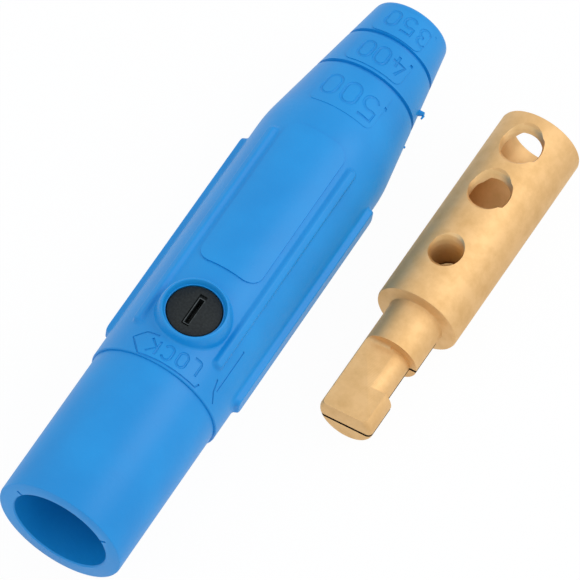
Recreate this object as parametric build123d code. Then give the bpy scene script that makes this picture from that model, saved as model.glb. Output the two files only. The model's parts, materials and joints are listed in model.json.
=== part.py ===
"""Cam-lock plug: a moulded insulating sleeve, its slotted retaining screw and the male contact beside it.

The sleeve lies on its body with its axis along +Y, the mouth towards -Y and the cable end towards +Y.
The retaining screw stands up along +Z. The contact lies next to the sleeve, on the +X side.
"""
from build123d import *
from math import radians, sin, tan
import os

INCH = 25.4

# Male contact, turned and milled from brass bar
BARREL_R = 7.1            # outside of the barrel
BARREL_LEN = 38.4
BARREL_CHAMFER = 0.35
CABLE_BORE_R = 0.375 * INCH / 2
CABLE_BORE_LEN = 20.6     # full width of the bore, before the drill point
DRILL_POINT = 118.0       # included angle of every drill point, in degrees
SET_SCREW_R = 3.3         # tap drill of the two set-screw holes
THREAD_SINK = 0.55        # how much wider the lead-in of a threaded hole is
REAR_HOLE = 5.9           # from the barrel's rear end to the first set-screw hole
SET_SCREW_PITCH = 9.8     # between the two set-screw holes
RETAINER_HOLE_R = 2.6     # tap drill of the retaining-screw hole
RETAINER_HOLE_DEPTH = 8.0
RETAINER_HOLE_Y = 9.65    # from the shoulder
PIN_R = 4.7
PIN_LEN = 21.5            # from the shoulder to the tip
PIN_ROUND = 0.8           # of the tip's edge
COLLAR_ROOT = 0.35        # cone where the pin meets the shoulder
COLLAR_LEN = 7.8          # full round part of the pin, next to the shoulder
FLAT_HEIGHT = 2.6         # flat on the pin, above its axis
FLAT_ROOT = 0.8           # fillet at the end of the flat
HEAD_LEN = 6.1            # cam head, from the tip to the neck
NECK_R = 3.15             # cam neck, cut round its own centre
NECK_OFFSET = (0.3, -0.45)
SLIT_WIDTH = 0.55         # saw cut that lets the two halves of the pin spring
SLIT_HEIGHT = -1.0
SLIT_LEN = 19.7

# Retaining screw, moulded
HEAD_R = 4.35
HEAD_THICK = 1.9
HEAD_BEVEL = 0.25         # of the head's upper edge
SLOT_LEN = 5.2
SLOT_WIDTH = 1.0
SLOT_DEPTH = 1.0          # down to the ledge round the deeper part
SLOT_LEDGE = 0.15
SLOT_BOTTOM = 2.2         # depth of the deeper part
SHANK_R = 3.1
SHANK_LEN = 6.8
SHANK_CHAMFER = 0.5

# Clearances between the pieces
SCREW_CLEARANCE = 0.1     # round the screw's head and shank
SEAT_GAP = 0.05           # under the screw's head
BARREL_CLEARANCE = 0.1    # round the contact in the sleeve
BARREL_SLACK = 0.3        # behind the contact in the sleeve

# Insulating sleeve, moulded in one piece
SLEEVE_LEN = 105.6
SOCKET_R = 8.1            # mouth, where the mating connector goes in
FRONT_R = 10.75           # smooth front part
FRONT_LEN = 27.2
BODY_R = 11.15            # gripped part
END_R = 6.65              # cable end
TAPER_ANGLE = 9.2         # of the cable end, in degrees
TAPER_BLEND = 25.0        # radius between the body and the taper
MOUTH_BEVEL = 0.35
MOUTH_EDGE = 0.2
END_ROUND = 0.8
STEP_BEVEL = 0.15         # at the front end of the gripped part
SOCKET_MARGIN = 1.0       # from the end of the socket to the contact's shoulder
CABLE_SIZES = (0.350 * INCH, 0.400 * INCH, 0.500 * INCH)
CUT_MARKS = (7.1, 15.4)   # from the cable end to the two cut-off grooves
CUT_MARK_WIDTH = 0.7
CUT_MARK_DEPTH = 0.5

# Screw boss on the sleeve
SCREW_Y = 37.6            # from the mouth
BOSS_HEIGHT = 1.7         # above the body
BOSS_ROUND = 0.35
RIM_LEDGE = 0.15          # ledge round the screw's head, outside the head's bore
RIM_FLARE = 0.3           # how much wider the rim is at its top than at the ledge
RIM_WALL = 0.5            # wall of the boss at its rim
BOSS_DRAFT = 0.4          # how much wider the boss is at its foot than at its rim
HEAD_RECESS = 0.95        # from the boss's rim down to the ledge and the head

# Grip ribs, wings and name plate on the sleeve
RIB_START = 32.9
RIB_LEN = 40.4
RIB_WIDTH = 1.5
RIB_HEIGHT = 0.75
RIB_BEVEL = 0.3           # of its upper edges, as a share of its width
RIB_ANGLE = 39.0          # from the screw, in degrees
WING_START = 32.6
WING_LEN = 40.6
WING_WIDTH = 3.9
WING_HEIGHT = 0.85
WING_CORNER = 0.9
WING_BEVEL = 0.4          # of its upper edges
PLATE_START = 46.8
PLATE_LEN = 28.6
PLATE_ANGLE = 29.0        # half of its width, in degrees
PLATE_HEIGHT = 0.25
PLATE_CORNER = 2.4

# How the pieces lie
LYING_GAP = 7.0           # between the sleeve's wing and the contact
REAR_SETBACK = 3.9        # from the sleeve's cable end to the contact's rear end
CONTACT_YAW = -0.6        # about +Z, in degrees
CONTACT_LEAN = -9.5       # about +Y, in degrees

# Places that follow from the sizes above
OVERCUT = 1.0             # how far a cutting tool runs past the surface
SHOULDER_Y = SCREW_Y - RETAINER_HOLE_Y
SOCKET_LEN = SHOULDER_Y - SOCKET_MARGIN
SEAT_R = BARREL_R + BARREL_CLEARANCE
SEAT_END = SHOULDER_Y + BARREL_LEN + BARREL_SLACK
BOSS_TOP = BODY_R + BOSS_HEIGHT
HEAD_TOP = BOSS_TOP - HEAD_RECESS
HEAD_SEAT = HEAD_TOP - HEAD_THICK - SEAT_GAP
HEAD_BORE_R = HEAD_R + SCREW_CLEARANCE
RIM_ROOT_R = HEAD_BORE_R + RIM_LEDGE
RIM_R = RIM_ROOT_R + RIM_FLARE
BOSS_R = RIM_R + RIM_WALL
BOSS_FOOT_R = BOSS_R + BOSS_DRAFT
SHANK_BORE_R = SHANK_R + SCREW_CLEARANCE
SLEEVE_AXIS_Z = BODY_R
WING_TOP = BODY_R + WING_HEIGHT
CONTACT_X = WING_TOP + LYING_GAP + BARREL_R
CONTACT_Y = SLEEVE_LEN - REAR_SETBACK - BARREL_LEN


def taper_radius(y):
    """Outside radius of the tapered cable end, at a distance from the mouth."""
    return END_R + (SLEEVE_LEN - y) * tan(radians(TAPER_ANGLE))


def rod(radius, start, end):
    """A plain cylinder along +Y, from start to end."""
    length = end - start
    return Pos(0, start, 0) * Rot(-90, 0, 0) * Cylinder(radius, length, align=(Align.CENTER, Align.CENTER, Align.MIN))


def drill(radius, depth):
    """A drill along +Z with its mouth at the origin: a full width of the given depth, then the point."""
    point = radius / tan(radians(DRILL_POINT / 2))
    profile = Polyline((0, OVERCUT), (radius, OVERCUT), (radius, -depth), (0, -depth - point), close=True)
    return revolve(Plane.XZ * make_face(profile), Axis.Z)


def sleeve_shell():
    """The turned form of the sleeve: outside, socket, contact seat and stepped cable bore."""
    taper_y = SLEEVE_LEN - (BODY_R - END_R) / tan(radians(TAPER_ANGLE))
    outside = make_face(Polyline(
        (0, 0),
        (FRONT_R, 0),
        (FRONT_R, FRONT_LEN),
        (BODY_R, FRONT_LEN),
        (BODY_R, taper_y),
        (END_R, SLEEVE_LEN),
        (0, SLEEVE_LEN),
        close=True,
    ))
    rounds = (
        ((BODY_R, taper_y), TAPER_BLEND),
        ((END_R, SLEEVE_LEN), END_ROUND),
    )
    for place, radius in rounds:
        corner = outside.vertices().sort_by_distance(place)[0]
        outside = fillet(corner, radius)
    for place, bevel in (((FRONT_R, 0), MOUTH_BEVEL), ((BODY_R, FRONT_LEN), STEP_BEVEL)):
        corner = outside.vertices().sort_by_distance(place)[0]
        outside = chamfer(corner, bevel)
    shell = revolve(outside, Axis.Y)
    small, middle, large = (size / 2 for size in CABLE_SIZES)
    first_cut, second_cut = (SLEEVE_LEN - mark for mark in CUT_MARKS)
    shell -= rod(SOCKET_R, -OVERCUT, SOCKET_LEN)
    shell -= rod(SEAT_R, SOCKET_LEN - OVERCUT, SEAT_END)
    shell -= rod(large, SEAT_END - OVERCUT, second_cut)
    shell -= rod(middle, second_cut - OVERCUT, first_cut)
    shell -= rod(small, first_cut - OVERCUT, SLEEVE_LEN + OVERCUT)
    mouth_rim = shell.edges().filter_by(GeomType.CIRCLE).sort_by_distance((SOCKET_R, 0, 0))[0]
    return chamfer(mouth_rim, MOUTH_EDGE)


def cut_mark(mark):
    """A V groove round the taper, where the sleeve is cut off for a thicker cable."""
    y = SLEEVE_LEN - mark
    root = taper_radius(y) - CUT_MARK_DEPTH
    rim = taper_radius(y) + OVERCUT
    half = CUT_MARK_WIDTH / 2 * (rim - root) / CUT_MARK_DEPTH
    profile = Polyline((root, y), (rim, y - half), (rim, y + half), close=True)
    return revolve(make_face(profile), Axis.Y)


def rib(angle):
    """A narrow grip rib with round ends, standing on the body at an angle from the screw."""
    foot = BODY_R - OVERCUT
    top = BODY_R + RIB_HEIGHT
    outline = Pos(0, RIB_START + RIB_LEN / 2, foot) * Rot(0, 0, 90) * SlotOverall(RIB_LEN, RIB_WIDTH)
    bar = extrude(outline, top - foot)
    crown = bar.edges().group_by(Axis.Z)[-1]
    return Rot(0, angle, 0) * chamfer(crown, RIB_WIDTH * RIB_BEVEL)


def wing(angle):
    """A broad grip wing with square ends on one side of the body."""
    foot = BODY_R - OVERCUT
    outline = Pos(0, WING_START + WING_LEN / 2, foot) * RectangleRounded(WING_WIDTH, WING_LEN, WING_CORNER)
    bar = extrude(outline, WING_TOP - foot)
    crown = bar.edges().group_by(Axis.Z)[-1]
    return Rot(0, angle, 0) * chamfer(crown, WING_BEVEL)


def name_plate():
    """The raised plate between the upper ribs, left bare."""
    width = 2 * BODY_R * sin(radians(PLATE_ANGLE))
    middle = PLATE_START + PLATE_LEN / 2
    column = extrude(Pos(0, middle, 0) * RectangleRounded(width, PLATE_LEN, PLATE_CORNER), BODY_R + OVERCUT)
    skin = rod(BODY_R + PLATE_HEIGHT, PLATE_START - OVERCUT, PLATE_START + PLATE_LEN + OVERCUT)
    core = rod(BODY_R - OVERCUT, PLATE_START - OVERCUT, PLATE_START + PLATE_LEN + OVERCUT)
    return column & skin - core


def screw_boss():
    """The round boss that the retaining screw sits in, before its bore is cut."""
    root = SEAT_R + OVERCUT
    profile = Polyline(
        (0, root), (BOSS_FOOT_R, root), (BOSS_FOOT_R, BODY_R), (BOSS_R, BOSS_TOP), (0, BOSS_TOP), close=True)
    boss = revolve(Plane.XZ * make_face(profile), Axis.Z)
    return Pos(0, SCREW_Y, 0) * fillet(boss.edges().group_by(Axis.Z)[-1], BOSS_ROUND)


def screw_bore():
    """The stepped bore of the retaining screw: the rim's inside, the head's bore and the shank's hole."""
    slope = (RIM_R - RIM_ROOT_R) / HEAD_RECESS
    rim = revolve(Plane.XZ * make_face(Polyline(
        (0, HEAD_TOP), (RIM_ROOT_R, HEAD_TOP), (RIM_R + slope * OVERCUT, BOSS_TOP + OVERCUT),
        (0, BOSS_TOP + OVERCUT), close=True)), Axis.Z)
    head = Pos(0, SCREW_Y, HEAD_SEAT) * Cylinder(
        HEAD_BORE_R, BOSS_TOP - HEAD_SEAT + OVERCUT, align=(Align.CENTER, Align.CENTER, Align.MIN))
    shank = Pos(0, SCREW_Y, 0) * Cylinder(
        SHANK_BORE_R, HEAD_SEAT + OVERCUT, align=(Align.CENTER, Align.CENTER, Align.MIN))
    return head + shank + Pos(0, SCREW_Y, 0) * rim


def insulator_sleeve():
    """The moulded sleeve, with its axis along +Y and its mouth at the origin."""
    sleeve = sleeve_shell()
    for mark in CUT_MARKS:
        sleeve -= cut_mark(mark)
    for angle in (RIB_ANGLE, -RIB_ANGLE, 180 - RIB_ANGLE, 180 + RIB_ANGLE):
        sleeve += rib(angle)
    for angle in (90, -90):
        sleeve += wing(angle)
    sleeve += name_plate()
    sleeve += screw_boss()
    return sleeve - screw_bore()


def retaining_screw():
    """The slotted screw, standing along +Z with the underside of its head at the origin."""
    head = Cylinder(HEAD_R, HEAD_THICK, align=(Align.CENTER, Align.CENTER, Align.MIN))
    head = chamfer(head.edges().group_by(Axis.Z)[-1], HEAD_BEVEL)
    shank = Cylinder(SHANK_R, SHANK_LEN, align=(Align.CENTER, Align.CENTER, Align.MAX))
    shank = chamfer(shank.edges().group_by(Axis.Z)[0], SHANK_CHAMFER)
    screw = head + shank
    for inset, depth in ((0, SLOT_DEPTH), (SLOT_LEDGE, SLOT_BOTTOM)):
        screw -= Pos(0, 0, HEAD_THICK - depth) * Box(
            SLOT_WIDTH - 2 * inset, SLOT_LEN - 2 * inset, depth + OVERCUT,
            align=(Align.CENTER, Align.CENTER, Align.MIN))
    return screw


def threaded_hole(radius, depth):
    """A tapped hole along +Z: its tap drill and its lead-in, with the mouth at the origin."""
    wide = radius + THREAD_SINK
    profile = Polyline((0, OVERCUT), (wide + OVERCUT, OVERCUT), (0, -wide), close=True)
    lead_in = revolve(Plane.XZ * make_face(profile), Axis.Z)
    return drill(radius, depth) + lead_in


def contact_barrel():
    """The barrel with its cable bore and its three tapped holes, from the shoulder at the origin to +Y."""
    barrel = rod(BARREL_R, 0, BARREL_LEN)
    barrel = chamfer(barrel.edges().filter_by(GeomType.CIRCLE), BARREL_CHAMFER)
    barrel -= Pos(0, BARREL_LEN, 0) * Rot(-90, 0, 0) * drill(CABLE_BORE_R, CABLE_BORE_LEN)
    for y in (BARREL_LEN - REAR_HOLE, BARREL_LEN - REAR_HOLE - SET_SCREW_PITCH):
        barrel -= Pos(0, y, BARREL_R) * threaded_hole(SET_SCREW_R, BARREL_R)
    barrel -= Pos(0, RETAINER_HOLE_Y, BARREL_R) * threaded_hole(RETAINER_HOLE_R, RETAINER_HOLE_DEPTH)
    return barrel


def neck_cut():
    """What is milled off one side of the pin, to leave the narrower cam neck behind its head."""
    length = PIN_LEN - HEAD_LEN - COLLAR_LEN
    x, z = NECK_OFFSET
    side = Pos(x, -COLLAR_LEN - length / 2, z) * Box(
        2 * PIN_R, length, 4 * PIN_R, align=(Align.MIN, Align.CENTER, Align.CENTER))
    core = Pos(x, 0, z) * rod(NECK_R, -PIN_LEN, 0)
    return side - core


def contact_pin():
    """The split cam pin, from its tip at -Y to the shoulder at the origin."""
    pin = rod(PIN_R, -PIN_LEN, OVERCUT)
    pin = fillet(pin.edges().filter_by(GeomType.CIRCLE).sort_by(Axis.Y)[0], PIN_ROUND)
    flat = Pos(0, -COLLAR_LEN, FLAT_HEIGHT) * Box(
        4 * PIN_R, 2 * PIN_LEN, 2 * PIN_R, align=(Align.CENTER, Align.MAX, Align.MIN))
    flat = fillet(flat.edges().filter_by(Axis.X).sort_by_distance((0, -COLLAR_LEN, FLAT_HEIGHT))[0], FLAT_ROOT)
    slit = Pos(0, -PIN_LEN - OVERCUT, SLIT_HEIGHT) * Box(
        4 * PIN_R, SLIT_LEN + OVERCUT, SLIT_WIDTH, align=(Align.CENTER, Align.MIN, Align.CENTER))
    return pin - flat - neck_cut() - slit


def male_contact():
    """The whole contact, with its shoulder at the origin and its tapped holes facing +Z."""
    contact = contact_barrel() + contact_pin()
    root = contact.edges().filter_by(GeomType.CIRCLE).sort_by_distance((PIN_R, 0, 0))[0]
    return chamfer(root, COLLAR_ROOT)


def lying_parts():
    """Every piece where it lies, by name, with the sleeve's mouth at y = 0 and the ground at z = 0."""
    sleeve_place = Pos(0, 0, SLEEVE_AXIS_Z)
    screw_place = sleeve_place * Pos(0, SCREW_Y, HEAD_SEAT + SEAT_GAP)
    contact_place = Pos(CONTACT_X, CONTACT_Y, BARREL_R) * Rot(0, 0, CONTACT_YAW) * Rot(0, CONTACT_LEAN, 0)
    return {
        "insulator_sleeve": sleeve_place * insulator_sleeve(),
        "retaining_screw": screw_place * retaining_screw(),
        "male_contact": contact_place * male_contact(),
    }


parts = lying_parts()
box = Compound(list(parts.values())).bounding_box()
centre = box.center()
to_origin = Pos(-centre.X, -centre.Y, -box.min.Z)
os.makedirs("parts", exist_ok=True)
for node, shape in parts.items():
    export_step(to_origin * shape, f"parts/{node}.step")
print("moved by", [round(value, 4) for value in (-centre.X, -centre.Y, -box.min.Z)])
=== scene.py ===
import bpy
import json
from math import cos, pi, radians, sin, tan
from mathutils import Matrix, Vector


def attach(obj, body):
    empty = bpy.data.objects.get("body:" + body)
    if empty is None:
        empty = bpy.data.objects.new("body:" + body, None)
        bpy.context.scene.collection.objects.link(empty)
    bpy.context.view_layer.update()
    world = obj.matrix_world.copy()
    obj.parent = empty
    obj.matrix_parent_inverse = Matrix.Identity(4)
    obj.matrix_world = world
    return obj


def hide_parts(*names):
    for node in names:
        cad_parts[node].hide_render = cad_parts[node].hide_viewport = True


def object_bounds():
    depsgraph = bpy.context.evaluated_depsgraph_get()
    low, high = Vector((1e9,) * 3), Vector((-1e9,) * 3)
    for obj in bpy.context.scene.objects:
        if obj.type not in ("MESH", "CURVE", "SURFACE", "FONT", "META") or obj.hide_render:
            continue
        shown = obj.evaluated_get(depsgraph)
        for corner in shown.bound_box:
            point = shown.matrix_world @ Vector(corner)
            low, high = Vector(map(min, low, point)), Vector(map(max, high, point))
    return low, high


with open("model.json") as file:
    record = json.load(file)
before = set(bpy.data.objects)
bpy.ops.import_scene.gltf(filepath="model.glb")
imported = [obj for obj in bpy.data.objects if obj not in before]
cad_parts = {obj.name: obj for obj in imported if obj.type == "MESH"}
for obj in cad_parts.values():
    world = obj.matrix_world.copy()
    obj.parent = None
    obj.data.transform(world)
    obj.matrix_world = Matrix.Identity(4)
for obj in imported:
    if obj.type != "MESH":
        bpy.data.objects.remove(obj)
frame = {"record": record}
cad_low, cad_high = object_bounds()
MM = 0.001

# The studio: pale card under the plug, a broad soft light from the cable end's side, a weaker one opposite,
# and white all round. The camera stands a metre off and looks down over the sleeve's mouth, as the photograph
# does.
PHOTO_SIZE = 580
FOCAL_PIXELS = 6477
SENSOR_WIDTH = 36.0
CAMERA_DISTANCE = 1.0
CAMERA_AZIMUTH = radians(30.804)
CAMERA_ELEVATION = radians(58.767)
CAMERA_TIP = radians(-5.882)
CAMERA_AIM = Vector((-2.909, 1.989, 11.15)) * MM
WHITE = (1, 1, 1, 1)
ROOM_COLOUR = (0.9, 0.95, 1.0, 1)
ROOM_STRENGTH = 0.96
CARD_SIZE = 2.4
CARD_COLOUR = (0.86, 0.87, 0.88, 1)
CARD_WHITE_SHARE = 0.965


def aim_camera():
    """The camera, turned round its aim and then tipped about the sleeve's own direction."""
    tip = Matrix.Rotation(CAMERA_TIP, 3, "Y")
    flat = cos(CAMERA_ELEVATION)
    back = tip @ Vector((sin(CAMERA_AZIMUTH) * flat, -cos(CAMERA_AZIMUTH) * flat, sin(CAMERA_ELEVATION)))
    right = tip @ Vector((cos(CAMERA_AZIMUTH), sin(CAMERA_AZIMUTH), 0))
    up = back.cross(right)
    bpy.ops.object.camera_add(location=CAMERA_AIM + back * CAMERA_DISTANCE)
    camera = bpy.context.object
    camera.name = "photo_camera"
    camera.rotation_euler = Matrix((right, up, back)).transposed().to_euler()
    camera.data.sensor_width = SENSOR_WIDTH
    camera.data.lens = FOCAL_PIXELS * SENSOR_WIDTH / PHOTO_SIZE
    bpy.context.scene.camera = camera


def soft_light(name, direction, distance, size, power):
    """A square softbox that looks at the middle of the plug."""
    aim = (cad_low + cad_high) / 2
    toward = Vector(direction).normalized()
    bpy.ops.object.light_add(type="AREA", location=aim + toward * distance)
    light = bpy.context.object
    light.name = name
    light.rotation_euler = toward.to_track_quat("Z", "Y").to_euler()
    light.data.shape = "SQUARE"
    light.data.size = size
    light.data.energy = power


def white_seen(tree):
    """1 for what the camera, a reflection or a see-through ray meets, and 0 for light that falls on things."""
    path = tree.nodes.new("ShaderNodeLightPath")
    seen = path.outputs["Is Camera Ray"]
    for ray in ("Is Glossy Ray", "Is Transmission Ray"):
        either = tree.nodes.new("ShaderNodeMath")
        either.operation = "MAXIMUM"
        tree.links.new(seen, either.inputs[0])
        tree.links.new(path.outputs[ray], either.inputs[1])
        seen = either.outputs[0]
    return seen


def light_the_room():
    """The world: a dim even light, and white where it is seen."""
    world = bpy.data.worlds.new("white_room")
    bpy.context.scene.world = world
    world.use_nodes = True
    tree = world.node_tree
    tree.nodes.clear()
    out = tree.nodes.new("ShaderNodeOutputWorld")
    mix = tree.nodes.new("ShaderNodeMixShader")
    tree.links.new(white_seen(tree), mix.inputs["Fac"])
    for number, (colour, strength) in enumerate(((ROOM_COLOUR, ROOM_STRENGTH), (WHITE, 1.0))):
        light = tree.nodes.new("ShaderNodeBackground")
        light.inputs["Color"].default_value = colour
        light.inputs["Strength"].default_value = strength
        tree.links.new(light.outputs[0], mix.inputs[1 + number])
    tree.links.new(mix.outputs[0], out.inputs["Surface"])


def lay_the_card():
    """The floor: pale card that the plug lies on. It shows nearly white, with the plug's soft shadow on it."""
    bpy.ops.mesh.primitive_plane_add(size=CARD_SIZE, location=(0, 0, 0))
    card = bpy.context.object
    card.name = "pale_card"
    material = bpy.data.materials.new("pale_card")
    material.use_nodes = True
    tree = material.node_tree
    tree.nodes.clear()
    out = tree.nodes.new("ShaderNodeOutputMaterial")
    mix = tree.nodes.new("ShaderNodeMixShader")
    paper = tree.nodes.new("ShaderNodeBsdfDiffuse")
    paper.inputs["Color"].default_value = CARD_COLOUR
    glow = tree.nodes.new("ShaderNodeEmission")
    glow.inputs["Color"].default_value = WHITE
    glow.inputs["Strength"].default_value = 1.0
    share = tree.nodes.new("ShaderNodeMath")
    share.operation = "MULTIPLY"
    share.inputs[1].default_value = CARD_WHITE_SHARE
    tree.links.new(white_seen(tree), share.inputs[0])
    tree.links.new(share.outputs[0], mix.inputs["Fac"])
    tree.links.new(paper.outputs[0], mix.inputs[1])
    tree.links.new(glow.outputs[0], mix.inputs[2])
    tree.links.new(mix.outputs[0], out.inputs["Surface"])
    card.data.materials.append(material)


bpy.context.scene.view_settings.view_transform = "Standard"
aim_camera()
light_the_room()
lay_the_card()
soft_light("key_softbox", direction=(0.75, 0.45, 1.0), distance=0.7, size=0.45, power=1.35)
soft_light("fill_softbox", direction=(-0.8, -0.6, 0.9), distance=0.9, size=0.9, power=0.5)


# The insulating sleeve is one thick moulding of blue thermoplastic rubber, with soft edges and a satin skin. It is
# drawn without its bore, made one skin, softened, and then bored as the mould's core leaves it. Until it is laid
# in its place, its mouth is at y = 0, its axis along +Y and the screw side up, in millimetres.
SLEEVE_LEN = 105.6
FRONT_R = 10.75
FRONT_LEN = 27.2
BODY_R = 11.15
END_R = 6.65
TAPER = radians(9.2)
TAPER_BLEND = 25.0
MOUTH_BEVEL = 0.35
MOUTH_EDGE = 0.2
END_ROUND = 0.8
SPARE_FRONT = 0.6          # drawn past the mouth, and trimmed off again
SOCKET_R = 8.1
SOCKET_LEN = 26.95
SEAT_R = 7.2
SEAT_END = 66.65
CABLE_WAYS = (6.35, 5.08, 4.445)
CUT_MARKS = (90.2, 98.5)
SCREW_Y = 37.6
BOSS_TOP = 12.85
HEAD_TOP = 11.9
GRIP_ROOT = BODY_R - 1.2
RIB_ANGLES = (39, -39, 141, -141)
RIB = {"width": 1.15, "start": 32.9, "length": 40.4, "height": 0.78, "corner": 0.57, "foot": 1.15}
WING_ANGLES = (90, -90)
WING = {"width": 3.4, "start": 32.6, "length": 40.6, "height": 0.85, "corner": 0.9, "foot": 0.7}
VOXEL = 0.17
SLEEVE_TRIANGLES = 120000


def alone(piece):
    """Select one piece and nothing else."""
    bpy.ops.object.select_all(action="DESELECT")
    piece.select_set(True)
    bpy.context.view_layer.objects.active = piece


def settle(piece):
    """Put a piece's place, turn and size into its mesh."""
    alone(piece)
    bpy.ops.object.transform_apply(location=True, rotation=True, scale=True)


def finish_with(piece, kind, **settings):
    """Add one modifier to a piece and apply it."""
    alone(piece)
    bpy.ops.object.modifier_add(type=kind)
    tool = piece.modifiers[-1]
    for name, value in settings.items():
        setattr(tool, name, value)
    bpy.ops.object.modifier_apply(modifier=tool.name)


def combine(piece, other, operation="DIFFERENCE"):
    """Cut, join or meet a piece with another one, which is used up."""
    finish_with(piece, "BOOLEAN", operation=operation, solver="EXACT", object=other)
    bpy.data.objects.remove(other)


def joined(pieces):
    """Put several pieces in the first one's mesh, as they are."""
    alone(pieces[0])
    for piece in pieces[1:]:
        piece.select_set(True)
    bpy.ops.object.join()
    return pieces[0]


def turned(name, profile, sides=192, lying=True):
    """A closed form turned about its axis, drawn from a disc ring by ring; the profile is (radius, place) pairs."""
    (radius, place), *rest = profile
    bpy.ops.object.select_all(action="DESELECT")
    bpy.ops.mesh.primitive_circle_add(vertices=sides, radius=radius * MM, fill_type="NGON")
    piece = bpy.context.object
    piece.name = name
    bpy.ops.object.mode_set(mode="EDIT")
    bpy.ops.mesh.select_all(action="SELECT")
    bpy.ops.transform.translate(value=(0, 0, place * MM))
    for next_radius, next_place in rest:
        bpy.ops.mesh.extrude_region_move(TRANSFORM_OT_translate={"value": (0, 0, (next_place - place) * MM)})
        share = next_radius / radius
        bpy.ops.transform.resize(value=(share, share, 1), center_override=(0, 0, next_place * MM))
        radius, place = next_radius, next_place
    bpy.ops.mesh.select_all(action="SELECT")
    bpy.ops.mesh.normals_make_consistent(inside=False)
    bpy.ops.object.mode_set(mode="OBJECT")
    if lying:
        piece.rotation_euler = (-pi / 2, 0, 0)
    settle(piece)
    return piece


def block(name, low, high, corner=0, steps=6):
    """A block between two corners, its upright edges rounded by the corner radius."""
    size = [(b - a) * MM for a, b in zip(low, high)]
    middle = [(a + b) / 2 * MM for a, b in zip(low, high)]
    bpy.ops.object.select_all(action="DESELECT")
    bpy.ops.mesh.primitive_cube_add(size=1, location=middle, scale=size)
    piece = bpy.context.object
    piece.name = name
    settle(piece)
    if corner:
        round_edges(piece, corner, steps, lambda a, b: abs(a.z - b.z) > (high[2] - low[2]) * MM / 2)
    return piece


def round_edges(piece, radius, steps, chosen):
    """Bevel the edges that a rule picks by their two ends."""
    bpy.ops.object.mode_set(mode="EDIT")
    bpy.ops.mesh.select_mode(type="EDGE")
    bpy.ops.mesh.select_all(action="DESELECT")
    bpy.ops.object.mode_set(mode="OBJECT")
    mesh = piece.data
    for edge in mesh.edges:
        a, b = (mesh.vertices[index].co for index in edge.vertices)
        edge.select = chosen(a, b)
    bpy.ops.object.mode_set(mode="EDIT")
    bpy.ops.mesh.bevel(offset=radius * MM, segments=steps)
    bpy.ops.object.mode_set(mode="OBJECT")


def cone_radius(y):
    """Outside radius of the tapered cable end at a distance from the mouth."""
    return END_R + (SLEEVE_LEN - y) * tan(TAPER)


def sleeve_outside():
    """The turned outside, from a little before the mouth to the rounded cable end."""
    taper_y = SLEEVE_LEN - (BODY_R - END_R) / tan(TAPER)
    blend_y = taper_y - TAPER_BLEND * tan(TAPER / 2)
    blend = []
    for step in range(9):
        turn = TAPER * step / 8
        blend.append((BODY_R - TAPER_BLEND * (1 - cos(turn)), blend_y + TAPER_BLEND * sin(turn)))
    end = []
    for step in range(7):
        turn = TAPER + (pi / 2 - TAPER) * step / 6
        end.append((END_R - END_ROUND * (1 - cos(turn)), SLEEVE_LEN - END_ROUND * (1 - sin(turn))))
    return turned("insulating_sleeve", [(BODY_R, -SPARE_FRONT), *blend, *end])


def screw_boss():
    """The round boss that stands up from the body round the screw, narrower towards its rim."""
    profile = [(6.0, 6.5), (5.9, 10.6), (5.75, 11.4), (5.5, 12.3), (5.3, 12.7), (5.1, BOSS_TOP)]
    boss = turned("boss", profile, lying=False)
    boss.location = (0, SCREW_Y * MM, 0)
    settle(boss)
    return boss


def grip(name, angle, width, start, length, height, corner, foot):
    """A grip rib or wing: it widens to a soft foot, and stands on the body at an angle from the screw."""
    bar = block(name, (-width / 2, start, GRIP_ROOT), (width / 2, start + length, BODY_R + height), corner, 8)
    bpy.ops.object.mode_set(mode="EDIT")
    bpy.ops.mesh.select_mode(type="FACE")
    bpy.ops.mesh.select_all(action="DESELECT")
    bpy.ops.object.mode_set(mode="OBJECT")
    for face in bar.data.polygons:
        face.select = face.normal.z < -0.9
    bpy.ops.object.mode_set(mode="EDIT")
    bpy.ops.transform.resize(
        value=((width + 2 * foot) / width, (length + 2 * foot) / length, 1),
        center_override=(0, (start + length / 2) * MM, GRIP_ROOT * MM))
    bpy.ops.object.mode_set(mode="OBJECT")
    bar.rotation_euler = (0, radians(angle), 0)
    settle(bar)
    return bar


sleeve = sleeve_outside()
ribs = [grip("rib", angle, **RIB) for angle in RIB_ANGLES]
wings = [grip("wing", angle, **WING) for angle in WING_ANGLES]
joined([sleeve, screw_boss(), *ribs, *wings])
finish_with(sleeve, "REMESH", mode="VOXEL", voxel_size=VOXEL * MM, adaptivity=0.0)
finish_with(sleeve, "SMOOTH", factor=0.5, iterations=6)
drawn = sum(len(face.vertices) - 2 for face in sleeve.data.polygons)
finish_with(sleeve, "DECIMATE", ratio=SLEEVE_TRIANGLES / drawn)

# The crisp forms of the same moulding: the bare name plate and the pads under the cable sizes, scraps of flash,
# the smooth front up to its step, the grooves where the end is cut off for a thicker cable, the stepped bore, and
# the screw's hole. A pad is (half width, start, end), and a scrap of flash is (place, size, tilt).
PLATE_SKIN_R = 11.4
NAME_PLATE = (5.41, 46.8, 75.4)
PLATE_CORNER = 2.4
PAD_RISE = 0.07
SIZE_PADS = ((5.5, 80.9, 89.3), (5.0, 91.15, 97.0), (4.4, 98.6, 104.3))
PAD_CORNER = 1.1
FLASH = (
    ((9.05, 93.1, 0.3), (0.55, 0.45), (15, 75, 25)),
    ((9.5, 92.65, 0.1), (0.22, 0.4), (55, 60, -30)),
    ((9.4, 87.0, -0.9), (0.30, 0.4), (0, 95, 0)),
)
STEP_BEVEL = 0.15
GROOVES = (CUT_MARKS[0], CUT_MARKS[1] - 0.45)
GROOVE_DEPTH = 0.6
SCREW_BORE_R = 3.2
HEAD_SEAT = 9.95
HEAD_BORE_R = 4.45
NICK_ANGLES = (57.4, -57.4)


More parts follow.
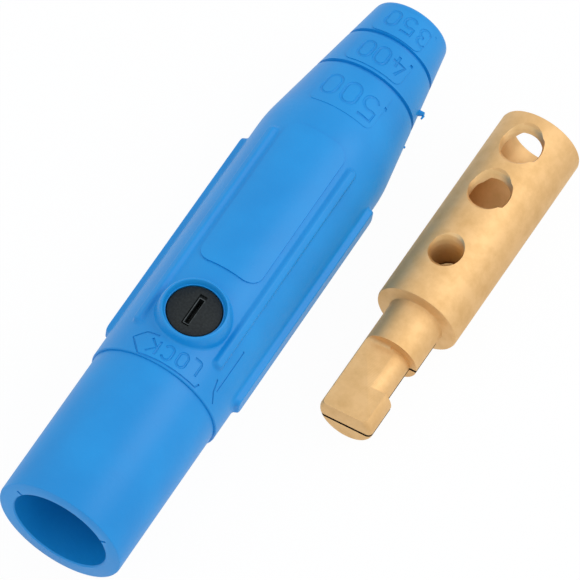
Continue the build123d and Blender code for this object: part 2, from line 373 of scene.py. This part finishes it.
def raised_pad(name, half_width, start, end, corner, skin):
    """A thin raised pad on the upper side: a column with round corners, kept where it is inside the skin."""
    pad = block(name, (-half_width, start, 4.5), (half_width, end, 14), corner, 8)
    combine(pad, skin, "INTERSECT")
    return pad


def flash_nub(place, size, tilt):
    """A torn scrap of flash that the mould left on the cable end."""
    bpy.ops.object.select_all(action="DESELECT")
    bpy.ops.mesh.primitive_cone_add(
        vertices=7, radius1=size[0] * MM, radius2=size[0] * 0.6 * MM, depth=size[1] * 2 * MM,
        location=[value * MM for value in place], rotation=[radians(value) for value in tilt])
    nub = bpy.context.object
    nub.name = "flash"
    settle(nub)
    return nub


def front_trim():
    """What is taken off round the smooth front, from before the mouth to the step behind it."""
    trim = turned("front_trim", [
        (14, -2),
        (14, FRONT_LEN + 0.3),
        (BODY_R + STEP_BEVEL, FRONT_LEN + 0.3),
        (BODY_R - STEP_BEVEL, FRONT_LEN),
        (10, FRONT_LEN),
    ], sides=256)
    combine(trim, turned("front_core", [
        (FRONT_R - MOUTH_BEVEL, 0),
        (FRONT_R - 0.1, 0.1),
        (FRONT_R, MOUTH_BEVEL),
        (FRONT_R, FRONT_LEN + 1),
    ], sides=256))
    return trim


def stepped_bore():
    """The mould's core: the socket, the contact's seat, and a way for each cable size, with broken edges."""
    return turned("bore", [
        (SOCKET_R + MOUTH_EDGE + 0.5, -0.5),
        (SOCKET_R, MOUTH_EDGE),
        (SOCKET_R, SOCKET_LEN),
        (SEAT_R, SOCKET_LEN),
        (SEAT_R, SEAT_END),
        (CABLE_WAYS[0], SEAT_END),
        (CABLE_WAYS[0], CUT_MARKS[0]),
        (CABLE_WAYS[1], CUT_MARKS[0]),
        (CABLE_WAYS[1], CUT_MARKS[1]),
        (CABLE_WAYS[2], CUT_MARKS[1]),
        (CABLE_WAYS[2], SLEEVE_LEN - MOUTH_EDGE),
        (CABLE_WAYS[2] + 0.6, SLEEVE_LEN + 0.4),
    ], sides=256)


def cut_groove(y):
    """A groove round the cable end, with sloping walls."""
    root = cone_radius(y) - GROOVE_DEPTH
    rim = cone_radius(y) + 1.0
    groove = turned("groove", [(root, y - 0.18), (rim, y - 0.85), (rim, y + 0.85), (root, y + 0.18)])
    combine(groove, turned("groove_core", [(root + 0.01, y - 2), (root + 0.01, y + 2)]))
    return groove


def screw_hole():
    """The screw's way through the boss: its shank's bore, its head's, and the ledge and flare of the rim."""
    hole = turned("screw_hole", [
        (SCREW_BORE_R, 3.0),
        (SCREW_BORE_R, HEAD_SEAT),
        (HEAD_BORE_R, HEAD_SEAT),
        (HEAD_BORE_R, HEAD_TOP),
        (4.6, HEAD_TOP),
        (4.82, 12.6),
        (5.02, BOSS_TOP + 0.02),
        (5.4, BOSS_TOP + 0.3),
    ], sides=128, lying=False)
    hole.location = (0, SCREW_Y * MM, 0)
    settle(hole)
    return hole


def mouth_nick(angle):
    """A small nick in the mouth's rim, at an angle from the screw."""
    nick = block("mouth_nick", (-0.22, -1, 7.6), (0.22, 0.45, 9.3), 0.1, 2)
    nick.rotation_euler = (0, radians(angle), 0)
    settle(nick)
    return nick


plate_skin = turned("plate_skin", [(PLATE_SKIN_R, 46), (PLATE_SKIN_R, 76)])
pads = [raised_pad("name_plate", *NAME_PLATE, PLATE_CORNER, plate_skin)]
for size_pad in SIZE_PADS:
    skin = turned("size_skin", [(cone_radius(y) + PAD_RISE, y) for y in (80.5, 105)])
    pads.append(raised_pad("size_pad", *size_pad, PAD_CORNER, skin))
combine(sleeve, joined(pads + [flash_nub(*scrap) for scrap in FLASH]), "UNION")
combine(sleeve, front_trim())
combine(sleeve, joined([stepped_bore(), *(cut_groove(y) for y in GROOVES)]))
combine(sleeve, joined([screw_hole(), *(mouth_nick(angle) for angle in NICK_ANGLES)]))

# The sunk marks: the word LOCK in an arrow by the screw, and the cable sizes between the grooves. The mould's
# raised letters press them in as lines with a round bottom. A letter is drawn in mm, u to its right and v up, and
# placed by its y and its angle from the screw in degrees.
LETTER_SINK = 0.2
CROSSING_LIFT = 0.012      # a letter's second line meets the first, and is a little shallower and narrower
CROSSING_NARROWER = 0.03
LOCK_LETTERS = (("L", 30.3, 25), ("O", 29.85, 13.8), ("C", 29.55, 1.2), ("K", 29.5, -11.7))
LOCK_WIDTH = 0.45
SIZE_NUMBERS = (
    ("500", 1.32, ((84.4, 20.8), (84.8, 0.4), (84.9, -20))),
    ("400", 1.08, ((94.1, 22.3), (94.1, 2.3), (94.1, -16.5))),
    ("350", 1.0, ((101.6, 30.5), (101.8, 7.0), (101.8, -16.0))),
)
SIZE_POINTS = ((86.35, 34.7), (95.9, 35.3), (103.6, 46.5))
SIZE_WIDTH = 0.56
LOCK_ARROW = ((28.6, 36), (27.7, 34), (27.6, 0), (27.4, -20), (29.9, -32.5), (31.4, -23), (31.5, -12))
TURN_ARROW = ((38.3, 53), (30.2, 53))
TURN_ARROW_HEAD = ((31.6, 47), (29.6, 50.5), (28.3, 57))


def arc(u, v, across, along, start, end, steps=9):
    """Places round part of an ellipse, from one angle to another in degrees."""
    turns = [radians(start + (end - start) * step / steps) for step in range(steps + 1)]
    return [(u + across * cos(turn), v + along * sin(turn)) for turn in turns]


LETTER_LINES = {
    "0": [
        [(0.95, -0.05), *arc(0, 0.65, 0.95, 0.95, 0, 180), (-0.95, -0.05)],
        [(-0.95, 0.05), *arc(0, -0.65, 0.95, 0.95, 180, 360), (0.95, 0.05)],
    ],
    "5": [[(0.95, 1.6), (-0.85, 1.6), (-0.95, 0.3), *arc(0, -0.6, 1.0, 1.0, 120, -150)]],
    "3": [arc(0, 0.8, 0.9, 0.8, 150, -85), arc(0, -0.75, 1.0, 0.85, 92, -150)],
    "4": [[(-0.1, 1.6), (-1.1, -0.55), (1.1, -0.55)], [(0.4, 0.4), (0.4, -1.65)]],
    "L": [[(-0.75, 1.25), (-0.75, -0.8), (-0.6, -1.15), (-0.2, -1.25), (0.7, -1.25)]],
    "O": [
        [(0.75, -0.05), *arc(0, 0.5, 0.75, 0.75, 0, 180), (-0.75, -0.05)],
        [(-0.75, 0.05), *arc(0, -0.5, 0.75, 0.75, 180, 360), (0.75, 0.05)],
    ],
    "C": [arc(0, 0.5, 0.75, 0.75, 20, 180) + arc(0, -0.5, 0.75, 0.75, 180, 340)],
    "K": [[(-0.75, 1.25), (-0.75, -1.25)], [(0.8, 1.25), (-0.55, 0), (0.8, -1.25)]],
}


def on_skin(y, angle, radius):
    """A place over the sleeve's skin, at an angle from the screw."""
    return Vector((radius * sin(angle), y, radius * cos(angle))) * MM


def skin_at(y):
    """Radius of the skin that a mark is pressed into: the body's by the screw, a size pad's on the taper."""
    return BODY_R if y < 45 else cone_radius(y) + PAD_RISE


def press_line(name, places, width):
    """A round line that presses one stroke into the skin; the places are (y, angle, radius) on the skin."""
    radius = (width * width / 4 + LETTER_SINK * LETTER_SINK) / (2 * LETTER_SINK)
    lift = radius - LETTER_SINK
    line = bpy.data.curves.new(name, "CURVE")
    line.dimensions = "3D"
    line.bevel_depth = radius * MM
    line.bevel_resolution = 5
    line.use_fill_caps = True
    run = line.splines.new("POLY")
    run.points.add(len(places) - 1)
    for point, (y, angle, skin) in zip(run.points, places):
        point.co = (*on_skin(y, angle, skin + lift), 1)
    tool = bpy.data.objects.new(name, line)
    bpy.context.collection.objects.link(tool)
    alone(tool)
    bpy.ops.object.convert(target="MESH")
    return bpy.context.object


def letter_lines(letter, y, angle, size, width):
    """The lines of one letter, read with its top towards the mouth."""
    lines = []
    for number, stroke in enumerate(LETTER_LINES[letter]):
        lift = CROSSING_LIFT * number
        places = [
            (y - v * size, radians(angle) - u * size / skin_at(y), skin_at(y - v * size) + lift)
            for u, v in stroke]
        lines.append(press_line("sunk_letter", places, width - CROSSING_NARROWER * number))
    return lines


def size_point(y, angle):
    """The point before a cable size."""
    places = [(y + step, radians(angle), cone_radius(y + step)) for step in (-0.28, 0.28)]
    return press_line("sunk_point", places, SIZE_WIDTH)


def arrow_line(stops, width):
    """A sunk line on the body through stops of (y, angle in degrees), in short steps round the curve."""
    places = []
    for (y, angle), (next_y, next_angle) in zip(stops, stops[1:]):
        steps = max(1, round(abs(next_angle - angle) / 4))
        for step in range(steps):
            share = step / steps
            places.append((y + (next_y - y) * share, radians(angle + (next_angle - angle) * share), BODY_R))
    places.append((stops[-1][0], radians(stops[-1][1]), BODY_R))
    return press_line("sunk_arrow", places, width)


first_lines = [size_point(y, angle) for y, angle in SIZE_POINTS]
crossing_lines = []
letters = [letter_lines(letter, y, angle, 1.0, LOCK_WIDTH) for letter, y, angle in LOCK_LETTERS]
for digits, size, places in SIZE_NUMBERS:
    letters += [letter_lines(digit, *place, size, SIZE_WIDTH) for digit, place in zip(digits, places)]
for first, *others in letters:
    first_lines.append(first)
    crossing_lines += others
crossing_lines.append(arrow_line(TURN_ARROW_HEAD, 0.3))
arrow_lines = [arrow_line(LOCK_ARROW, 0.32), arrow_line(TURN_ARROW, 0.3)]
for lines in (first_lines, crossing_lines, arrow_lines):
    combine(sleeve, joined(lines))


def new_finish(name):
    """A new material, with its nodes, its skin, and the place on the piece that its patterns follow."""
    material = bpy.data.materials.new(name)
    material.use_nodes = True
    tree = material.node_tree
    place = tree.nodes.new("ShaderNodeTexCoord")
    return material, tree, tree.nodes["Principled BSDF"], place.outputs["Object"]


def mottle(tree, place, scale, detail, roughness=0.5):
    """Noise on the piece, with a scale in marks to the metre."""
    noise = tree.nodes.new("ShaderNodeTexNoise")
    noise.inputs["Scale"].default_value = scale
    noise.inputs["Detail"].default_value = detail
    noise.inputs["Roughness"].default_value = roughness
    tree.links.new(place, noise.inputs["Vector"])
    return noise.outputs["Fac"]


def tint(tree, skin, pattern, dark, light):
    """Colour the skin by a pattern, between two pairs of (the pattern's value, colour)."""
    ramp = tree.nodes.new("ShaderNodeValToRGB")
    for stop, (value, colour) in zip(ramp.color_ramp.elements, (dark, light)):
        stop.position = value
        stop.color = (*colour, 1)
    tree.links.new(pattern, ramp.inputs["Fac"])
    tree.links.new(ramp.outputs["Color"], skin.inputs["Base Color"])


def vary_gloss(tree, skin, pattern, dull, bright):
    """Change the skin's roughness with a pattern, between two pairs of (the pattern's value, roughness)."""
    gloss = tree.nodes.new("ShaderNodeMapRange")
    for end, (value, roughness) in (("Min", dull), ("Max", bright)):
        gloss.inputs["From " + end].default_value = value
        gloss.inputs["To " + end].default_value = roughness
    tree.links.new(pattern, gloss.inputs["Value"])
    tree.links.new(gloss.outputs["Result"], skin.inputs["Roughness"])


def emboss(tree, skin, pattern, strength, distance):
    """Raise a pattern on the skin."""
    bump = tree.nodes.new("ShaderNodeBump")
    bump.inputs["Strength"].default_value = strength
    bump.inputs["Distance"].default_value = distance * MM
    tree.links.new(pattern, bump.inputs["Height"])
    tree.links.new(bump.outputs["Normal"], skin.inputs["Normal"])


def moulded_rubber():
    """Blue rubber with a satin skin, faint flow marks and a fine grain."""
    material, tree, skin, place = new_finish("moulded_rubber")
    flow = mottle(tree, place, 110, 4)
    tint(tree, skin, flow, (0.35, (0.002, 0.235, 0.605)), (0.68, (0.004, 0.262, 0.650)))
    vary_gloss(tree, skin, flow, (0, 0.36), (1, 0.50))
    emboss(tree, skin, mottle(tree, place, 1400, 5), 0.12, 0.2)
    skin.inputs["Specular IOR Level"].default_value = 0.38
    return material


def lay(piece, place):
    """Lay a finished piece in its place, which then is in its mesh."""
    piece.matrix_world = place
    settle(piece)


def dress(piece, material, body, node, crease=35):
    """Smooth a finished piece, give it its finish, and let it stand for its solid."""
    alone(piece)
    bpy.ops.object.shade_smooth_by_angle(angle=radians(crease))
    piece.data.materials.clear()
    piece.data.materials.append(material)
    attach(piece, body)
    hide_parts(node)


mounts = {mount["name"]: mount for mount in frame["record"]["mounts"]}
socket_at = Vector(mounts["mating_socket"]["pos_m"])
lay(sleeve, Matrix.Translation((socket_at.x, cad_low.y, socket_at.z)))
dress(sleeve, moulded_rubber(), "plug", "insulator_sleeve")

# The retaining screw is moulded in black plastic, with a slot in its flat head that has a lip round its deeper
# part. It turns in the boss and locks the contact in the sleeve. The underside of its head is at z = 0.
HEAD_R = 4.35
HEAD_THICK = 1.9
HEAD_LIFT = 0.05           # clear of the seat in the boss
SHANK_R = 3.1
SHANK_LEN = 6.8
SHANK_CORE = 0.6           # below the threads' crests
THREAD_PITCH = 1.27
THREAD_DEPTH = 0.35
LIP_DEPTH = 0.12           # from the head's top down to the lip
THREAD_STEPS = 72
WELD = 1e-6                # metres


def threaded_rod(name, minor, depth, pitch, low, high):
    """A bar with a right-hand V thread, standing along +Z: one V of the thread, drawn round and up."""
    outline = bpy.data.curves.new(name, "CURVE")
    outline.dimensions = "3D"
    run = outline.splines.new("POLY")
    run.points.add(2)
    profile = ((minor, low), (minor + depth, low + pitch / 2), (minor, low + pitch))
    for point, (radius, place) in zip(run.points, profile):
        point.co = (radius * MM, 0, place * MM, 1)
    piece = bpy.data.objects.new(name, outline)
    bpy.context.collection.objects.link(piece)
    alone(piece)
    bpy.ops.object.convert(target="MESH")
    piece = bpy.context.object
    finish_with(
        piece, "SCREW", angle=2 * pi, screw_offset=pitch * MM, steps=THREAD_STEPS, render_steps=THREAD_STEPS,
        iterations=round((high - low) / pitch) - 1, use_merge_vertices=True, merge_threshold=WELD)
    bpy.ops.object.mode_set(mode="EDIT")
    bpy.ops.mesh.select_all(action="SELECT")
    bpy.ops.mesh.remove_doubles(threshold=WELD)
    bpy.ops.mesh.fill_holes(sides=0)
    bpy.ops.mesh.select_all(action="SELECT")
    bpy.ops.mesh.normals_make_consistent(inside=False)
    bpy.ops.object.mode_set(mode="OBJECT")
    return piece


def speckled_plastic(name, dark, light):
    """Black plastic with a fine matte speckle."""
    material, tree, skin, place = new_finish(name)
    speckle = mottle(tree, place, 2600, 3)
    tint(tree, skin, speckle, (0.38, dark), (0.66, light))
    emboss(tree, skin, speckle, 0.25, 0.1)
    skin.inputs["Roughness"].default_value = 0.6
    skin.inputs["Specular IOR Level"].default_value = 0.28
    return material


def finish_faces(piece, material, faces):
    """Give some faces of a dressed piece a finish of their own."""
    piece.data.materials.append(material)
    for index in faces:
        piece.data.polygons[index].material_index = len(piece.data.materials) - 1


screw = turned("retaining_screw", [
    (SHANK_R - SHANK_CORE, -SHANK_LEN),
    (SHANK_R - SHANK_CORE, 0),
    (HEAD_R, 0),
    (HEAD_R, HEAD_THICK - 0.25),
    (HEAD_R - 0.06, HEAD_THICK - 0.1),
    (HEAD_R - 0.2, HEAD_THICK),
], sides=128, lying=False)
shank = threaded_rod("shank", SHANK_R - THREAD_DEPTH, THREAD_DEPTH, THREAD_PITCH, 0.02 - SHANK_LEN, 0.3)
combine(screw, shank, "UNION")
combine(screw, block("slot", (-0.74, -2.85, HEAD_THICK - 0.5), (0.56, 3.05, HEAD_THICK + 1), 0.1, 2))
lip = block("slot_lip", (-0.56, -2.55, HEAD_THICK - 1), (0.54, 2.5, HEAD_THICK - LIP_DEPTH), 0.1, 2)
combine(screw, lip, "UNION")
combine(screw, block("deep_slot", (-0.42, -2.42, HEAD_THICK - 2.2), (0.42, 2.36, HEAD_THICK + 1), 0.08, 2))
screw_seat = Vector(frame["record"]["behaviour"]["joints"][0]["pos_m"]) + Vector((0, 0, HEAD_LIFT * MM))
lay(screw, Matrix.Translation(screw_seat))
black = speckled_plastic("speckled_plastic", (0.005, 0.008, 0.009), (0.013, 0.017, 0.018))
dress(screw, black, "screw", "retaining_screw", 40)

# The lip's top is painted lighter grey: a painted highlight, for the light that its edge catches.
lip_height = screw_seat.z + (HEAD_THICK - LIP_DEPTH) * MM
lip_highlight = speckled_plastic("painted_lip_highlight", (0.035, 0.042, 0.044), (0.075, 0.085, 0.088))
finish_faces(screw, lip_highlight, [
    face.index for face in screw.data.polygons
    if face.normal.z > 0.9 and abs(face.center.z - lip_height) < 0.02 * MM
    and abs(face.center.x - screw_seat.x) < 0.6 * MM and abs(face.center.y - screw_seat.y) < 2.7 * MM])

# The male contact is turned from brass bar, bored for the cable, and drilled and tapped from above. Its pin is
# milled to a flat and a cam neck, and split by a saw. Until it is laid in its place, its shoulder is at y = 0,
# the pin towards -Y and the tapped holes up.
BARREL_R = 7.1
BARREL_LEN = 38.4
PIN_R = 4.7
PIN_LEN = 21.5
TIP_ROUND = 0.8
COLLAR_LEN = 7.8
FLAT_HEIGHT = 2.6
FLAT_ROOT = 0.8
NECK_R = 3.15
NECK_X = 0.3
NECK_Z = -0.45
NECK_END = 15.4
SLIT_HEIGHT = -1.0
SLIT_WIDTH = 0.55
SLIT_END = 1.8
CABLE_BORE_R = 4.7625
CABLE_BORE_LEN = 20.6
DRILL_POINT = tan(radians(59))
AXIS_R = 0.05              # of the point of a drill or countersink
TAP_DEPTH = 0.45
SET_SCREW_TAP = {"drill_r": 3.3, "pitch": 1.08, "low": 1.5, "pointed": False, "wide": 4.05}
RETAINER_TAP = {"drill_r": 2.6, "pitch": 1.27, "low": -0.9, "pointed": True, "wide": 3.25}
REAR_TAP_Y = BARREL_LEN - 5.9
FRONT_TAP_Y = BARREL_LEN - 15.7
RETAINER_TAP_Y = 9.65
TAPPED_METAL = ((RETAINER_TAP_Y, 3.3, -3), (FRONT_TAP_Y, 3.9, 1.4), (REAR_TAP_Y, 3.9, 1.4))    # y, radius, foot


def contact_blank():
    """The blank as it comes off the lathe, from the rounded tip to the barrel's rear edge."""
    tip = []
    for step in range(9):
        turn = pi / 2 * step / 8
        tip.append((PIN_R - TIP_ROUND * (1 - sin(turn)), TIP_ROUND * (1 - cos(turn)) - PIN_LEN))
    return turned("male_contact", [
        *tip,
        (PIN_R, -0.35),
        (PIN_R + 0.12, -0.12),
        (PIN_R + 0.35, 0),
        (BARREL_R - 0.35, 0),
        (BARREL_R - 0.1, 0.1),
        (BARREL_R, 0.35),
        (BARREL_R, BARREL_LEN - 0.35),
        (BARREL_R - 0.1, BARREL_LEN - 0.1),
        (BARREL_R - 0.35, BARREL_LEN),
    ], sides=256)


def cable_bore():
    """The drilled bore for the cable, with its drill point and the broken edge at the rear."""
    bore_end = BARREL_LEN - CABLE_BORE_LEN
    return turned("cable_bore", [
        (AXIS_R, bore_end - CABLE_BORE_R / DRILL_POINT),
        (CABLE_BORE_R, bore_end),
        (CABLE_BORE_R, BARREL_LEN - 0.2),
        (CABLE_BORE_R + 1.2, BARREL_LEN + 1),
    ], sides=192)


def tapped_hole(y, drill_r, pitch, low, pointed, wide):
    """What a drill, a tap and a countersink take out from above; wide is the countersink's radius at its top."""
    hole = threaded_rod("tapped_hole", drill_r, TAP_DEPTH, pitch, low, BARREL_R + 1)
    cone = [(AXIS_R, BARREL_R - wide + AXIS_R), (wide + 1, BARREL_R + 1)]
    combine(hole, turned("sink", cone, sides=96, lying=False), "UNION")
    if pointed:
        tip = turned("drill_tip", [
            (AXIS_R, low - drill_r / DRILL_POINT),
            (drill_r + 0.02, low),
            (drill_r + 0.02, low + 0.9),
        ], sides=64, lying=False)
        combine(hole, tip, "UNION")
    hole.location = (0, y * MM, 0)
    settle(hole)
    return hole


def neck_cut():
    """What the mill takes off one side of the pin, round the cam neck."""
    cut = block("neck_cut", (NECK_X, -NECK_END, -9), (9, -COLLAR_LEN, 9))
    core = turned("neck_core", [(NECK_R, -20), (NECK_R, -2)], sides=128)
    core.location = (NECK_X * MM, 0, NECK_Z * MM)
    settle(core)
    combine(cut, core)
    return cut


def flat_cut():
    """What the mill takes off the pin's upper side, with a round root at the collar."""
    cut = block("flat_cut", (-9, -PIN_LEN - 3, FLAT_HEIGHT), (9, -COLLAR_LEN, 9))
    round_edges(cut, FLAT_ROOT, 8, lambda a, b: (
        abs(a.x - b.x) > 5 * MM and a.z < 4 * MM and b.z < 4 * MM and a.y > -10 * MM and b.y > -10 * MM))
    return cut


def saw_slit():
    """The saw cut that splits the pin, so that it springs in its socket."""
    bottom = SLIT_HEIGHT - SLIT_WIDTH / 2
    top = SLIT_HEIGHT + SLIT_WIDTH / 2
    return block("saw_slit", (-9, -PIN_LEN - 3, bottom), (9, -SLIT_END, top))


def machined_brass(name, dull, bright):
    """Brass off the lathe: fine turned rings, with faint brown tarnish in blotches, between two roughnesses."""
    material, tree, skin, place = new_finish(name)
    blotch = mottle(tree, place, 330, 6, 0.66)
    tint(tree, skin, blotch, (0.30, (0.72, 0.475, 0.215)), (0.60, (0.80, 0.540, 0.265)))
    vary_gloss(tree, skin, blotch, (0.3, dull), (0.7, bright))
    rings = tree.nodes.new("ShaderNodeTexWave")
    rings.bands_direction = "Y"
    rings.inputs["Scale"].default_value = 1250
    rings.inputs["Distortion"].default_value = 1.2
    rings.inputs["Detail Scale"].default_value = 0.4
    tree.links.new(place, rings.inputs["Vector"])
    emboss(tree, skin, rings.outputs["Fac"], 0.10, 0.06)
    skin.inputs["Metallic"].default_value = 1.0
    return material


def painted_slit_shade():
    """The walls of the saw slit, dull, and painted dark brown: painted shade, for the shadow deep in the narrow
    slit.
    """
    material, tree, skin, place = new_finish("painted_slit_shade")
    tint(tree, skin, mottle(tree, place, 900, 2), (0, (0.022, 0.011, 0.004)), (1, (0.055, 0.030, 0.012)))
    skin.inputs["Metallic"].default_value = 0.6
    skin.inputs["Roughness"].default_value = 0.7
    return material


contact = contact_blank()
combine(contact, cable_bore())
combine(contact, tapped_hole(REAR_TAP_Y, **SET_SCREW_TAP))
combine(contact, tapped_hole(FRONT_TAP_Y, **SET_SCREW_TAP))
combine(contact, tapped_hole(RETAINER_TAP_Y, **RETAINER_TAP))
combine(contact, neck_cut())
combine(contact, flat_cut())
combine(contact, saw_slit())

# The slit's walls and the tapped metal are picked while the contact still stands straight.
slit_faces = [
    face.index for face in contact.data.polygons
    if abs(face.normal.z) > 0.9 and abs(abs(face.center.z / MM - SLIT_HEIGHT) - SLIT_WIDTH / 2) < 0.02
    and face.center.y < -SLIT_END * MM]
thread_faces = []
for y, radius, bottom in TAPPED_METAL:
    for face in contact.data.polygons:
        corners = [contact.data.vertices[number].co / MM for number in face.vertices]
        if all(c.z > bottom and (c.x ** 2 + (c.y - y) ** 2) ** 0.5 < radius for c in corners):
            thread_faces.append(face.index)
pin_mount = mounts["contact_pin"]
pin_axis = Vector(pin_mount["axis"])
shoulder = Vector(pin_mount["pos_m"]) - pin_axis * pin_mount["dims"]["length_mm"] * MM / 2
along = -pin_axis
upward = Vector(mounts["retaining_screw_hole"]["axis"])
across = along.cross(upward)
lay(contact, Matrix.Translation(shoulder) @ Matrix((across, along, upward)).transposed().to_4x4())
dress(contact, machined_brass("machined_brass", 0.68, 0.60), "plug", "male_contact", 30)
# The slit's walls are painted dark brown, as painted shade.
finish_faces(contact, painted_slit_shade(), slit_faces)
finish_faces(contact, machined_brass("fresh_cut_brass", 0.44, 0.36), thread_faces)
